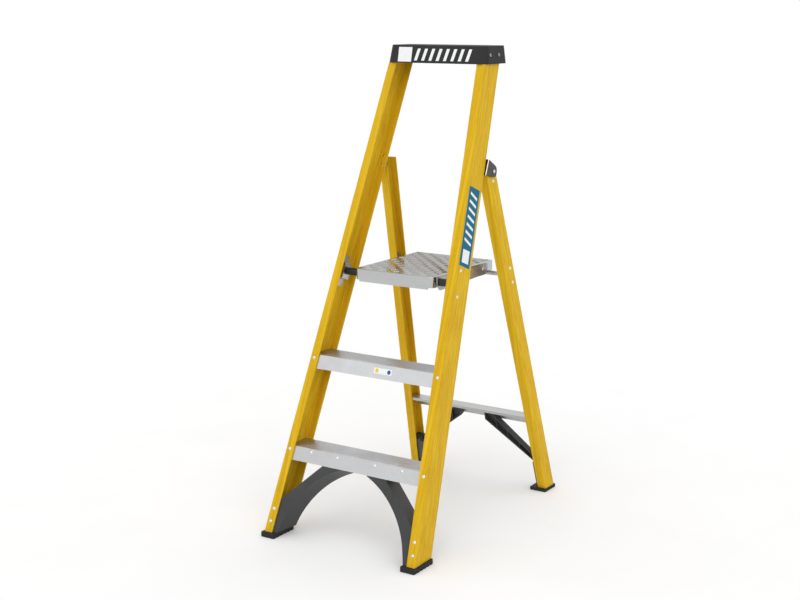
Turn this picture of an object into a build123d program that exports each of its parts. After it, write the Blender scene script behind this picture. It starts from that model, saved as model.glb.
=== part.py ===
from build123d import *

import os
from math import asin, atan, atan2, cos, degrees, hypot, radians, sin

# Platform step ladder, open and standing. Millimetres; +X right, +Y from the climber to the rear
# frame, +Z up. The origin is on the floor, midway between the front and rear feet.

# ------------------------------------------------------------------ overall size and stance
overall_height = 1260.0  # floor to the top of the cap
base_depth = 775.0  # front of the front feet to the back of the rear feet
front_half_width = 234.9  # centre to the outer face of a front stile, at the floor
rear_half_width = 228.5  # centre to the outer face of a rear leg, at the floor
front_side_slope = 0.0713  # how far each side comes in per millimetre of height
rear_side_slope = 0.066
front_lean = 21.2  # degrees from upright

# ------------------------------------------------------------------ channels
stile_depth = 76.6
stile_flange = 24.4
stile_wall = 4.0
leg_depth = 48.7
leg_flange = 24.5
leg_wall = 3.5
channel_corner = 2.5
flange_tip_round = 1.0

# ------------------------------------------------------------------ treads and platform
first_tread_height = 229.5
tread_spacing = 230.0
tread_count = 2
tread_lip = 35.0
tread_sheet = 2.5
tread_rib_pitch = 7.6
tread_rib_width = 3.4
tread_rib_height = 1.2
tread_rib_margin = 4.0  # plain strip along each edge of the tread
tread_edge_round = 2.0
platform_height = 684.5
platform_half_width = 122.0
platform_front_reach = 31.0  # tray front face ahead of the front rod
platform_rear_reach = 11.8  # tray rear face behind the rear rod
platform_sheet = 2.5
platform_front_skirt = 29.0
platform_side_skirt = 27.8
platform_lip_drop = 4.5  # extra depth of the front skirt between its corners
platform_corner = 16.0
side_plate_thickness = 3.0
side_plate_drop = 38.0  # below the deck, at the front
side_plate_rear_drop = 33.0
side_plate_top_drop = 3.5
side_plate_rear_gap = 22.0  # clear of the rear rod, centre to plate end
side_plate_front_lead = 12.0  # ahead of the front rod
side_plate_nose = 12.0  # sloped corner at the front
side_plate_deep_run = 60.0  # length at full depth, and of the shallower tail
side_plate_tail = 14.0  # sloped corner at the rear
side_plate_round = 4.0
plate_rivet_drop = 12.0  # below the plate's top
plate_rivet_shares = (0.2, 0.55, 0.9)  # along the plate
rod_hole_room = 1.0  # in the tray, around the front rod

# ------------------------------------------------------------------ rods and their brackets
front_rod_radius = 5.0
front_rod_drop = 16.5  # rod centre below the deck
front_rod_in_stile = 34.0  # rod centre behind the stile's front face
rear_rod_radius = 6.0
rear_rod_from_back = 18.9  # rod centre ahead of the leg's back face
spacer_radius = 10.0
rod_bracket_sheet = 2.0
rod_bracket_rise = 15.0  # off the web
front_rod_bracket_box = 42.0  # raised box, along the channel
rear_rod_bracket_box = 28.0
front_rod_bracket_length = 84.0
rear_rod_bracket_length = 58.0
front_rod_bracket_width = 30.0
rear_rod_bracket_width = 25.0
rod_bracket_rivet_end = 8.0
rod_bracket_corner = 4.0
rod_end_gap = 2.0  # rod end to the web
spacer_edge = 0.8
front_bracket_rivet_depth = 24.0
rest_gap = 0.3  # tray above the rear rod, leg behind its stop, washer and pin tail off the web

# ------------------------------------------------------------------ hinge
hinge_height = 937.7
hinge_behind_stile = 36.9
hinge_in_leg = 32.2  # pin centre behind the leg's front face
hinge_pin_radius = 3.0
hinge_head_radius = 5.0
hinge_head_height = 2.4
hinge_washer_radius = 6.0
hinge_washer_room = 2.0  # between the leg's web and the cheek
hinge_plate = 2.2
hinge_base_half = 21.5  # half the bracket's length along the stile
hinge_base_short = 2.0  # base edge, outward of the flange's tip
hinge_fold_round = 2.0
hinge_cheek_radius = 16.0  # around the pin
hinge_heel_radius = 5.5
hinge_heel = 9.0  # heel centre, behind and below the pin
hinge_rivet_inset = 13.5  # from the stile's outer face
hinge_rivet_end = 8.0
pin_tail_height = 2.5
pin_tail_flare = 1.6
leg_top_height = 957.0
leg_flange_top = 932.0  # the front flange stops short of the web
leg_flange_relief = 8.0  # depth of that cut, behind the leg's front face
leg_corner_swing = 20.0  # below the pin, where the leg's corner swings past the bracket
leg_end_rivet_below = 25.5  # below the pin, along the leg
leg_end_rivet_depth = 27.2

# ------------------------------------------------------------------ cap
cap_height = 46.6
cap_side_overhang = 4.0  # beyond the stiles, at the cap's lower edge
cap_front_overhang = 4.3
cap_rear_overhang = 29.0
cap_side_draft = 4.5  # how far each face comes in over the cap's height
cap_front_draft = 9.5
cap_rear_draft = 3.7
cap_wall = 2.6
cap_fit = 3.0  # stile ends inside the cap's outer face
cap_front_corner = 20.0
cap_rear_corner = 8.0
cap_top_round = 2.0
stile_in_cap = 32.0
cap_rib = 2.4
cap_inner_rib_x = 39.0
cap_screw_rise = 23.1
cap_screw_spacing = 45.0
cap_screw_first = 16.0  # behind the stile's front face
cap_screw_length = 14.0
cap_screw_radius = 2.4
cap_screw_head_radius = 4.6
cap_screw_head_height = 2.4
cap_screw_slot = (6.0, 1.0, 0.8)  # length, width, depth
cap_rib_off_stile = 6.0

# ------------------------------------------------------------------ braces and feet
front_foot_height = 13.0
front_foot_width = 42.5
front_foot_depth = 90.0
front_foot_proud = 3.6
front_foot_lip = 5.0  # ahead of the stile's front face
rear_foot_height = 9.0
rear_foot_width = 50.5
rear_foot_depth = 65.0
rear_foot_proud = 2.5
rear_foot_lip = 4.4
sole_groove = 4.5
sole_groove_depth = 5.0
sole_pitch = 15.0
foot_corner = 4.0
foot_edge = 1.5
brace_wall = 3.5
brace_rib = 2.5
brace_rib_pitch = 34.0
brace_rib_set_back = 3.0  # rib edge inside the brace's rim
brace_pad_radius = 8.0
tenon_headroom = 2.0
front_brace_inner_run = 176.0  # from the web, at the tread
front_brace_outer_run = 118.0
front_brace_knee_height = 62.0
front_brace_knee_run = 44.0
front_brace_toe_run = 30.0
front_brace_outer_knee = 104.0
front_brace_sagitta = 21.5
brace_tenon_run = 66.0
rear_bar_height = 229.5
rear_bar_web = 32.0
rear_bar_sheet = 3.0
rear_bar_lip = 5.0
rear_brace_inner_x = 40.0
rear_brace_rim = 16.0
rear_brace_proud = 5.0
rear_brace_top_length = 18.0
rear_brace_low_meet = 70.0
rear_brace_high_meet = 89.0
rear_brace_top_gap = 3.0  # under the crossbar's flat top
rear_brace_end_gap = 2.0  # past the crossbar web's lower edge
rear_post_rib_shares = (0.24, 0.53)  # of the height where the arm meets the post

# ------------------------------------------------------------------ fasteners and fits
rivet_radius = 2.4
rivet_head_radius = 4.6
rivet_head_height = 2.0
rivet_tail_radius = 3.4
rivet_tail_height = 1.6
flange_rivet_inset = 11.5
brace_front_rivet_heights = (42.0, 75.5)  # along the slope, on the front flange
brace_back_rivet_heights = (54.0, 78.0)  # the same, on the rear flange
brace_tread_rivet_x = 58.0
brace_tread_rivet_outer_x = 141.0
tread_rivet_drop = 8.5
rear_leg_rivet_heights = (34.0, 62.0)
bar_rivet_spread = 8.0  # either side of the crossbar's mid height
bar_brace_rivet_runs = (10.0, 51.0)  # from the arm's inner end
hole_clearance = 0.1
running_clearance = 0.05
seat_clearance = 0.2
label_thickness = 0.4
label_length = 207.0
label_width = 54.0
label_bottom = 778.0
label_inset = 11.0
label_corner = 2.0
sticker_width = 55.0
sticker_height = 15.0
sticker_drop = 16.0  # middle of the sticker below the tread's top

# ================================================================== derived stance
front_sin, front_cos = sin(radians(front_lean)), cos(radians(front_lean))
front_face_y = -base_depth / 2 + front_foot_lip
front_taper = degrees(atan(front_side_slope * front_cos))
hinge_depth = stile_depth + hinge_behind_stile
hinge_s = (hinge_height + hinge_depth * front_sin) / front_cos
hinge_y = front_face_y + hinge_s * front_sin + hinge_depth * front_cos

leg_back_y = base_depth / 2 - rear_foot_lip
hinge_reach = leg_back_y - hinge_y
hinge_ahead_of_back = leg_depth - hinge_in_leg
rear_lean = degrees(
    atan2(hinge_reach, hinge_height) - asin(hinge_ahead_of_back / hypot(hinge_reach, hinge_height))
)
rear_sin, rear_cos = sin(radians(rear_lean)), cos(radians(rear_lean))
rear_face_y = leg_back_y - leg_depth / rear_cos
rear_taper = degrees(atan(rear_side_slope * rear_cos))

# FRONT and REAR hold parts described by x, depth behind the front face, and height along the slope.
# STILE and LEG do the same on the right-hand channel: x = 0 is the outer face of its web.
FRONT = Pos(0, front_face_y, 0) * Rot(-front_lean, 0, 0)
REAR = Pos(0, rear_face_y, 0) * Rot(rear_lean, 0, 0)
STILE = FRONT * Pos(front_half_width, 0, 0) * Rot(0, -front_taper, 0)
LEG = REAR * Pos(rear_half_width, 0, 0) * Rot(0, -rear_taper, 0)

cap_bottom = overall_height - cap_height


def front_y(depth, z):
    """Y of the plane that lies a depth behind the front face, at height z."""
    return front_face_y + z * front_sin / front_cos + depth / front_cos


def rear_y(depth, z):
    """Y of the plane that lies a depth behind the rear legs' front face, at height z."""
    return rear_face_y - z * rear_sin / rear_cos + depth / rear_cos


def front_s(depth, z):
    """Slope height of a point at this depth and height."""
    return (z + depth * front_sin) / front_cos


def rear_s(depth, z):
    return (z - depth * rear_sin) / rear_cos


def stile_x(s, inset=0.0):
    """X of a face parallel to the right stile's web, an inset inside its outer face."""
    return front_half_width - s * front_side_slope * front_cos - inset / cos(radians(front_taper))


def leg_x(s, inset=0.0):
    return rear_half_width - s * rear_side_slope * rear_cos - inset / cos(radians(rear_taper))


# ------------------------------------------------------------------ shared shapes
def outline(*points):
    """A flat face with straight edges."""
    return make_face(Polyline(*points, close=True))


def upright_plate(face, near, far):
    """Stands a face drawn across (x) and up (s) between two depths."""
    return Rot(90, 0, 0) * Pos(0, 0, -far) * extrude(face, far - near)


def across(face, half_length):
    """Runs a face drawn in depth (y) and height (z) along X, both ways from the middle."""
    return Rot(0, 90, 0) * Rot(0, 0, 90) * extrude(face, half_length, both=True)


def slab(x, y, z):
    """A box given by its lowest and highest value along each axis."""
    size = [high - low for low, high in (x, y, z)]
    middle = [(high + low) / 2 for low, high in (x, y, z)]
    return Pos(*middle) * Box(*size)


def above(part, z):
    return split(part, bisect_by=Plane.XY.offset(z), keep=Keep.TOP)


def below(part, z):
    return split(part, bisect_by=Plane.XY.offset(z), keep=Keep.BOTTOM)


def mirrored(part):
    return mirror(part, about=Plane.YZ)


def channel(depth, flange, wall, length):
    """A channel open towards -X, with its web's outer face on x = 0."""
    block = Pos(-flange / 2, depth / 2) * Rectangle(flange, depth)
    block = fillet(block.vertices().sort_by(Axis.X)[-2:], channel_corner)
    hollow = Pos(-wall - flange / 2, depth / 2) * Rectangle(flange, depth - 2 * wall)
    hollow = fillet(hollow.vertices().sort_by(Axis.X)[-2:], channel_corner)
    section = block - hollow
    section = fillet(section.vertices().group_by(Axis.X)[0], flange_tip_round)
    return extrude(section, length)


def rivet(grip):
    """A dome rivet along Z: its head stands on z = 0 and its tail closes on z = -grip."""
    crown = rivet_head_height
    dome = ThreePointArc(
        (0, crown), (rivet_head_radius * 0.72, crown * 0.66), (rivet_head_radius, 0)
    )
    rim = Polyline(
        (rivet_head_radius, 0),
        (rivet_radius, 0),
        (rivet_radius, -grip),
        (rivet_tail_radius, -grip),
        (rivet_tail_radius * 0.7, -grip - rivet_tail_height),
        (0, -grip - rivet_tail_height),
        (0, crown),
    )
    face = make_face(dome + rim)
    return revolve(Rot(90, 0, 0) * face, Axis.Z)


def rivet_hole(grip):
    """Room for a rivet's shank."""
    return Pos(0, 0, -grip / 2) * Cylinder(rivet_radius + hole_clearance, grip + 4)


def both_sides(places, shape):
    """The same shape at each place and mirrored to the other side."""
    right = [place * shape for place in places]
    return Compound(children=right + [mirrored(part) for part in right])


def cut(part, places, tool):
    for place in places:
        part -= place * tool
    return part


def cut_both(part, places, tool):
    for place in places:
        part -= place * tool
        part -= mirrored(place * tool)
    return part


FORWARD = Rot(90, 0, 0)  # turns Z towards the front
BACKWARD = Rot(-90, 0, 0)
OUTWARD = Rot(0, 90, 0)

nodes = {}

# ================================================================== rivet places, right-hand side
tread_heights = [first_tread_height + n * tread_spacing for n in range(tread_count)]
lip_grip = stile_wall + tread_sheet


def flange_place(s, depth, turn):
    """On a stile flange, set in from the outer corner."""
    return FRONT * Pos(stile_x(s, flange_rivet_inset), depth, s) * turn


def tread_rivet_places(depth, turn):
    return [
        flange_place(front_s(depth, height - tread_rivet_drop), depth, turn)
        for height in tread_heights
    ]


front_tread_rivets = tread_rivet_places(0, FORWARD)
rear_tread_rivets = tread_rivet_places(stile_depth, BACKWARD)
front_foot_rivets = [flange_place(s, 0, FORWARD) for s in brace_front_rivet_heights]
rear_foot_rivets = [flange_place(s, stile_depth, BACKWARD) for s in brace_back_rivet_heights]

lower_lip_s = front_s(stile_wall, first_tread_height - tread_rivet_drop)
brace_tread_places = [
    FRONT * Pos(x, stile_wall, lower_lip_s) * FORWARD
    for x in (brace_tread_rivet_x, brace_tread_rivet_outer_x)
]
brace_tread_grip = tread_sheet + seat_clearance + brace_wall
foot_grip = stile_wall + seat_clearance + brace_wall

# ================================================================== rods
front_rod_z = platform_height - front_rod_drop
front_rod_s = front_s(front_rod_in_stile, front_rod_z)
front_rod_y = front_y(front_rod_in_stile, front_rod_z)
rear_rod_z = platform_height - platform_side_skirt - rest_gap - rear_rod_radius
rear_rod_in_leg = leg_depth - rear_rod_from_back
rear_rod_s = rear_s(rear_rod_in_leg, rear_rod_z)
rear_rod_y = rear_y(rear_rod_in_leg, rear_rod_z)

front_rod_axial = front_rod_s / cos(radians(front_taper))
rear_rod_axial = rear_rod_s / cos(radians(rear_taper))


def bracket_rivets(channel_frame, depth, axial, length):
    reach = length / 2 - rod_bracket_rivet_end
    return [channel_frame * Pos(0, depth, axial + side * reach) * OUTWARD for side in (-1, 1)]


front_bracket_rivets = bracket_rivets(
    STILE, front_bracket_rivet_depth, front_rod_axial, front_rod_bracket_length
)
rear_bracket_rivets = bracket_rivets(
    LEG, rear_rod_in_leg, rear_rod_axial, rear_rod_bracket_length
)
front_bracket_grip = stile_wall + rod_bracket_sheet
rear_bracket_grip = leg_wall + rod_bracket_sheet


def rod_line(y, z, radius, half_length):
    return Pos(0, y, z) * Rot(0, 90, 0) * Cylinder(radius, 2 * half_length)


def rod_bracket(wall, depth, width, length, box, axial):
    """A folded strip on a web's inner face, with a raised box that carries the rod's end."""
    low, high = axial - length / 2, axial + length / 2
    box_low, box_high = axial - box / 2, axial + box / 2
    near, far = depth - width / 2, depth + width / 2
    back = -wall
    strip = slab((back - rod_bracket_sheet, back), (near, far), (low, high))
    strip = fillet(strip.edges().filter_by(Axis.X), rod_bracket_corner)
    raised = slab((back - rod_bracket_rise, back), (near, far), (box_low, box_high))
    inside = slab(
        (back - rod_bracket_rise + rod_bracket_sheet, back + 1),
        (near - 1, far + 1),
        (box_low + rod_bracket_sheet, box_high - rod_bracket_sheet),
    )
    return (strip + raised) - inside


front_bracket = STILE * rod_bracket(
    stile_wall,
    front_rod_in_stile,
    front_rod_bracket_width,
    front_rod_bracket_length,
    front_rod_bracket_box,
    front_rod_axial,
)
rear_bracket = LEG * rod_bracket(
    leg_wall,
    rear_rod_in_leg,
    rear_rod_bracket_width,
    rear_rod_bracket_length,
    rear_rod_bracket_box,
    rear_rod_axial,
)
front_rod_end = stile_x(front_rod_s, stile_wall) - rod_end_gap
rear_rod_end = leg_x(rear_rod_s, leg_wall) - rod_end_gap
front_bore = rod_line(
    front_rod_y, front_rod_z, front_rod_radius + seat_clearance, front_half_width
)
rear_bore = rod_line(rear_rod_y, rear_rod_z, rear_rod_radius + seat_clearance, rear_half_width)
front_bracket = cut(front_bracket - front_bore, front_bracket_rivets, rivet_hole(front_bracket_grip))
rear_bracket = cut(rear_bracket - rear_bore, rear_bracket_rivets, rivet_hole(rear_bracket_grip))
nodes["front_rod_bracket_right"] = front_bracket
nodes["front_rod_bracket_left"] = mirrored(front_bracket)
nodes["rear_rod_bracket_right"] = rear_bracket
nodes["rear_rod_bracket_left"] = mirrored(rear_bracket)
nodes["front_rod_bracket_rivets"] = both_sides(front_bracket_rivets, rivet(front_bracket_grip))
nodes["rear_rod_bracket_rivets"] = both_sides(rear_bracket_rivets, rivet(rear_bracket_grip))
nodes["platform_front_rod"] = rod_line(front_rod_y, front_rod_z, front_rod_radius, front_rod_end)
nodes["rear_rod"] = rod_line(rear_rod_y, rear_rod_z, rear_rod_radius, rear_rod_end)

# Spacers keep the platform midway between the stiles.
spacer_inner = platform_half_width + side_plate_thickness + rest_gap
bracket_face = stile_x(front_rod_s + spacer_radius, stile_wall + rod_bracket_rise)
spacer_outer = bracket_face - seat_clearance
spacer = Cylinder(spacer_radius, spacer_outer - spacer_inner)
spacer = chamfer(spacer.edges().filter_by(GeomType.CIRCLE), spacer_edge)
spacer -= Cylinder(front_rod_radius + running_clearance, spacer_outer)
spacer_middle = (spacer_inner + spacer_outer) / 2
spacer = Pos(spacer_middle, front_rod_y, front_rod_z) * Rot(0, 90, 0) * spacer
nodes["platform_spacer_right"] = spacer
nodes["platform_spacer_left"] = mirrored(spacer)

# ================================================================== hinge
pivot_leg_s = rear_s(hinge_in_leg, hinge_height)
cheek_inner = leg_x(pivot_leg_s) + hinge_washer_room
cheek_outer = cheek_inner + hinge_plate
PIVOT = Pos(0, hinge_y, hinge_height)


def pivot_cylinder(radius, low, high):
    return PIVOT * Pos((low + high) / 2, 0, 0) * Rot(0, 90, 0) * Cylinder(radius, high - low)


def slope_point(depth, s):
    return (front_face_y + s * front_sin + depth * front_cos, s * front_cos - depth * front_sin)


def disc(y, z, radius):
    return Pos(y, z) * Circle(radius)


# A folded bracket stands on the stile's rear flange, with its cheek outside the leg's web.
base_low, base_high = hinge_s - hinge_base_half, hinge_s + hinge_base_half
base_back = stile_depth + hinge_plate
base_inner = stile_x(hinge_s, stile_flange) + hinge_base_short
cheek_face = make_hull(
    disc(hinge_y, hinge_height, hinge_cheek_radius).edges()
    + disc(hinge_y + hinge_heel, hinge_height - hinge_heel, hinge_heel_radius).edges()
    + outline(
        slope_point(stile_depth - 1, base_low),
        slope_point(base_back, base_low),
        slope_point(base_back, base_high),
        slope_point(stile_depth - 1, base_high),
    ).edges()
)
cheek_far = hinge_depth + 2 * hinge_cheek_radius
angle = outline(
    (base_inner, stile_depth),
    (cheek_outer, stile_depth),
    (cheek_outer, cheek_far),
    (cheek_inner, cheek_far),
    (cheek_inner, base_back),
    (base_inner, base_back),
)
fold_corner = angle.vertices().group_by(Axis.Y)[0].sort_by(Axis.X)[-1]
angle = fillet([fold_corner], hinge_fold_round)
angle_length = 4 * hinge_base_half
hinge_bracket = FRONT * Pos(0, 0, hinge_s - angle_length / 2) * extrude(angle, angle_length)
hinge_bracket = hinge_bracket & across(cheek_face, front_half_width)
hinge_rivet_x = stile_x(hinge_s, hinge_rivet_inset)
hinge_rivet_s = (base_low + hinge_rivet_end, base_high - hinge_rivet_end)
hinge_rivets = [FRONT * Pos(hinge_rivet_x, base_back, s) * BACKWARD for s in hinge_rivet_s]
hinge_grip = hinge_plate + stile_wall
hinge_bracket = cut(hinge_bracket, hinge_rivets, rivet_hole(hinge_grip))
hinge_bracket -= pivot_cylinder(
    hinge_pin_radius + running_clearance, cheek_inner - 1, cheek_outer + 1
)
nodes["hinge_bracket_right"] = hinge_bracket
nodes["hinge_bracket_left"] = mirrored(hinge_bracket)
nodes["hinge_bracket_rivets"] = both_sides(hinge_rivets, rivet(hinge_grip))

# The pin: a head outside the cheek, and a closed tail inside the leg, clear of its tilted web.
pin_tail_radius = hinge_pin_radius + pin_tail_flare
tail_outer = leg_x(pivot_leg_s, leg_wall) - rear_side_slope * pin_tail_radius - rest_gap
tail_inner = tail_outer - pin_tail_height
pin = pivot_cylinder(hinge_pin_radius, tail_inner, cheek_outer)
head = pivot_cylinder(hinge_head_radius, cheek_outer, cheek_outer + hinge_head_height)
head = fillet(head.faces().sort_by(Axis.X)[-1].edges(), hinge_head_height * 0.6)
tail = pivot_cylinder(pin_tail_radius, tail_inner, tail_outer)
pin = pin + head + tail
nodes["hinge_pins"] = Compound(children=[pin, mirrored(pin)])
washer_inner = leg_x(pivot_leg_s) + rear_side_slope * hinge_washer_radius + rest_gap
washer = pivot_cylinder(hinge_washer_radius, washer_inner, cheek_inner)
washer -= pivot_cylinder(
    hinge_pin_radius + running_clearance, washer_inner - 1, cheek_inner + 1
)
nodes["hinge_washers"] = Compound(children=[washer, mirrored(washer)])

# ================================================================== front stiles
cap_screw_z = cap_bottom + cap_screw_rise
cap_screw_first_y = front_y(0, cap_screw_z) + cap_screw_first
cap_screw_ys = (cap_screw_first_y, cap_screw_first_y + cap_screw_spacing)


def cap_half_width(z):
    outer = stile_x(front_s(0, cap_bottom)) + cap_side_overhang
    return outer - cap_side_draft * (z - cap_bottom) / cap_height


cap_front_y = front_y(0, cap_bottom) - cap_front_overhang
cap_back_y = front_y(stile_depth, cap_bottom) + cap_rear_overhang


def cap_section(z, wall):
    """The cap's outline at a height, a wall inside its outer face."""
    rise = (z - cap_bottom) / cap_height
    half = cap_half_width(z) - wall
    front = cap_front_y + cap_front_draft * rise + wall
    back = cap_back_y - cap_rear_draft * rise - wall
    face = Pos(0, (front + back) / 2) * Rectangle(2 * half, back - front)
    face = fillet(face.vertices().sort_by(Axis.Y)[:2], cap_front_corner - wall)
    face = fillet(face.vertices().sort_by(Axis.Y)[-2:], cap_rear_corner - wall)
    return Pos(0, 0, z) * face


cap_screw_tilt = degrees(atan(cap_side_draft / cap_height))
cap_screws = [
    Pos(cap_half_width(cap_screw_z), y, cap_screw_z) * Rot(0, 90 - cap_screw_tilt, 0)
    for y in cap_screw_ys
]
cap_screw_hole = Pos(0, 0, -cap_screw_length / 2) * Cylinder(
    cap_screw_radius + hole_clearance, cap_screw_length + 6
)
channel_length = overall_height / front_cos + 2 * stile_depth
stile = STILE * Pos(0, 0, -stile_depth) * channel(stile_depth, stile_flange, stile_wall, channel_length)
stile = below(above(stile, front_foot_height), cap_bottom + stile_in_cap)
# The top end is trimmed to fit inside the cap.
cap_room = loft([cap_section(cap_bottom, cap_fit), cap_section(overall_height, cap_fit)])
stile = below(stile, cap_bottom) + (stile & cap_room)
stile = cut(stile, front_tread_rivets + rear_tread_rivets, rivet_hole(lip_grip))
stile = cut(stile, front_foot_rivets + rear_foot_rivets, rivet_hole(foot_grip))
stile = cut(stile, front_bracket_rivets, rivet_hole(front_bracket_grip))
stile = cut(stile, hinge_rivets, rivet_hole(hinge_grip))
stile = cut(stile, cap_screws, cap_screw_hole)
nodes["front_stile_right"] = stile
nodes["front_stile_left"] = mirrored(stile)

# ================================================================== treads
def room_between(width_at, wall, depth):
    """The space between a pair of webs and inside their flanges, with the channels' inner rounding."""
    low, high = -2 * depth, overall_height
    face = outline(
        (-width_at(low, wall), low),
        (width_at(low, wall), low),
        (width_at(high, wall), high),
        (-width_at(high, wall), high),
    )
    room = upright_plate(face, wall, depth - wall)
    return fillet(room.edges().sort_by(SortBy.LENGTH)[-4:], channel_corner)


stile_room = FRONT * room_between(stile_x, stile_wall, stile_depth)


def tread(height):
    """A folded tread: a ribbed flat top, and two lips that follow the stiles."""
    front, back = stile_wall, stile_depth - stile_wall
    bottom = height - tread_lip
    skin = outline(
        (front_y(front, bottom), bottom),
        (front_y(front, height), height),
        (front_y(back, height), height),
        (front_y(back, bottom), bottom),
    )
    skin = fillet(skin.vertices().group_by(Axis.Y)[-1], tread_edge_round)
    under = height - tread_sheet
    hollow = outline(
        (front_y(front + tread_sheet, bottom - 1), bottom - 1),
        (front_y(front + tread_sheet, under), under),
        (front_y(back - tread_sheet, under), under),
        (front_y(back - tread_sheet, bottom - 1), bottom - 1),
    )
    section = skin - hollow
    start = front_y(front, height) + tread_rib_margin
    room = front_y(back, height) - start - tread_rib_margin
    count = int((room - tread_rib_width) / tread_rib_pitch) + 1
    for number in range(count):
        y = start + tread_rib_width / 2 + number * tread_rib_pitch
        section -= Pos(y + tread_rib_pitch / 2, height) * Rectangle(
            tread_rib_pitch - tread_rib_width, 2 * tread_rib_height
        )
    return across(section, front_half_width) & stile_room


names = ("lower_tread", "middle_tread", "upper_tread", "fourth_tread")
for name, height in zip(names, tread_heights):
    step = cut_both(tread(height), front_tread_rivets + rear_tread_rivets, rivet_hole(lip_grip))
    if height == first_tread_height:
        step = cut_both(step, brace_tread_places, rivet_hole(brace_tread_grip))
    nodes[name] = step
nodes["tread_rivets_front"] = both_sides(front_tread_rivets, rivet(lip_grip))
nodes["tread_rivets_rear"] = both_sides(rear_tread_rivets, rivet(lip_grip))

# ================================================================== front braces
brace_near = stile_wall + seat_clearance
brace_far = stile_depth - stile_wall - seat_clearance
tread_bottom = first_tread_height - tread_lip
tread_bottom_s = front_s(0, tread_bottom)
web_at_tread = stile_x(tread_bottom_s, stile_wall)
brace_top_inner = web_at_tread - front_brace_inner_run
brace_top_outer = web_at_tread - front_brace_outer_run
knee = (stile_x(front_brace_knee_height, stile_wall) - front_brace_knee_run, front_brace_knee_height)
toe = (stile_x(0, stile_wall) - front_brace_toe_run, 0.0)
outer_knee = (stile_x(front_brace_outer_knee, stile_flange), front_brace_outer_knee)
outer_slope = (tread_bottom_s - outer_knee[1]) / (outer_knee[0] - brace_top_outer)
web_meet_s = outer_knee[1] - outer_slope * (stile_flange - stile_wall)
top_inner = (brace_top_inner, tread_bottom_s)
high = tread_bottom_s + stile_depth
arch_middle = ((top_inner[0] + knee[0]) / 2, (top_inner[1] + knee[1]) / 2)
arch_run = hypot(knee[0] - top_inner[0], knee[1] - top_inner[1])
arch_normal = ((top_inner[1] - knee[1]) / arch_run, (knee[0] - top_inner[0]) / arch_run)
arch_point = (
    arch_middle[0] + arch_normal[0] * front_brace_sagitta,
    arch_middle[1] + arch_normal[1] * front_brace_sagitta,
)
lowest = -stile_depth / 2
brace_rim = (
    ThreePointArc(top_inner, arch_point, knee)
    + Polyline(
        knee,
        toe,
        (toe[0], lowest),
        (stile_x(lowest, stile_wall), lowest),
        (stile_x(web_meet_s, stile_wall), web_meet_s),
        (brace_top_outer, tread_bottom_s),
        (brace_top_outer, high),
        (brace_top_inner, high),
        top_inner,
    )
)
brace_face = make_face(brace_rim)
brace_hollow = offset(brace_face, -brace_wall, kind=Kind.INTERSECTION)


def level_block(face, near, far, floor, ceiling):
    """A block with an upright outline, between two depths and two level cuts."""
    return below(above(FRONT * upright_plate(face, near, far), floor), ceiling)


brace = level_block(brace_face, brace_near, brace_far, front_foot_height, tread_bottom)
ribs = Part()
rib_x = brace_top_inner + brace_rib_pitch
while rib_x < front_half_width:
    rib_sides = (rib_x - brace_rib / 2, rib_x + brace_rib / 2)
    rib_depths = (brace_near, brace_far - brace_rib_set_back)
    ribs += brace & FRONT * slab(rib_sides, rib_depths, (lowest, high))
    rib_x += brace_rib_pitch
brace -= level_block(
    brace_hollow,
    brace_near + brace_wall,
    brace_far + 1,
    front_foot_height + brace_wall,
    tread_bottom - brace_wall,
)
brace += ribs

# Pads at the open back take the rear flange's rivets.
pad_drop = stile_wall + seat_clearance + brace_wall / 2
for place in rear_foot_rivets:
    brace += place * Pos(0, 0, -pad_drop) * Cylinder(brace_pad_radius, brace_wall)

# The tenon stands inside the tread.
tenon_near = stile_wall + tread_sheet + seat_clearance
tenon_far = stile_depth - tenon_near
tenon_inner = brace_top_inner + brace_wall
tenon_outer = web_at_tread - brace_tenon_run
tenon_top = first_tread_height - tread_sheet - tenon_headroom


def standing_face(left, right):
    return outline((left, 0), (right, 0), (right, high), (left, high))


brace += level_block(
    standing_face(tenon_inner, tenon_outer),
    tenon_near,
    tenon_far,
    tread_bottom - brace_wall / 2,
    tenon_top,
)
brace -= level_block(
    standing_face(tenon_inner + brace_wall, tenon_outer - brace_wall),
    tenon_near + brace_wall,
    tenon_far - brace_wall,
    tread_bottom + brace_wall,
    tenon_top + 1,
)
below_lip = level_block(
    standing_face(brace_top_outer, front_half_width),
    brace_near,
    brace_far,
    tread_bottom - brace_wall,
    tread_bottom,
)
brace -= below_lip
brace = brace & stile_room
brace = cut(brace, front_foot_rivets + rear_foot_rivets, rivet_hole(foot_grip))
brace = cut(brace, brace_tread_places, rivet_hole(brace_tread_grip))
nodes["front_brace_right"] = brace
nodes["front_brace_left"] = mirrored(brace)
nodes["brace_tread_rivets"] = both_sides(brace_tread_places, rivet(brace_tread_grip))
nodes["front_brace_rivets"] = both_sides(front_foot_rivets + rear_foot_rivets, rivet(foot_grip))


# ================================================================== foot pads
def foot_pad(outer, front, width, depth, height):
    """A moulded pad with a grooved sole."""
    pad = slab((outer - width, outer), (front, front + depth), (0, height))
    pad = fillet(pad.edges().filter_by(Axis.Z), foot_corner)
    pad = fillet(pad.faces().sort_by(Axis.Z)[-1].edges(), foot_edge)
    grooves = int((depth - sole_pitch / 2) / sole_pitch)
    first = front + depth / 2 - (grooves - 1) * sole_pitch / 2
    for number in range(grooves):
        y = first + number * sole_pitch
        pad -= slab(
            (outer - width - 1, outer + 1),
            (y - sole_groove / 2, y + sole_groove / 2),
            (-1, sole_groove_depth),
        )
    return pad


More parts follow.
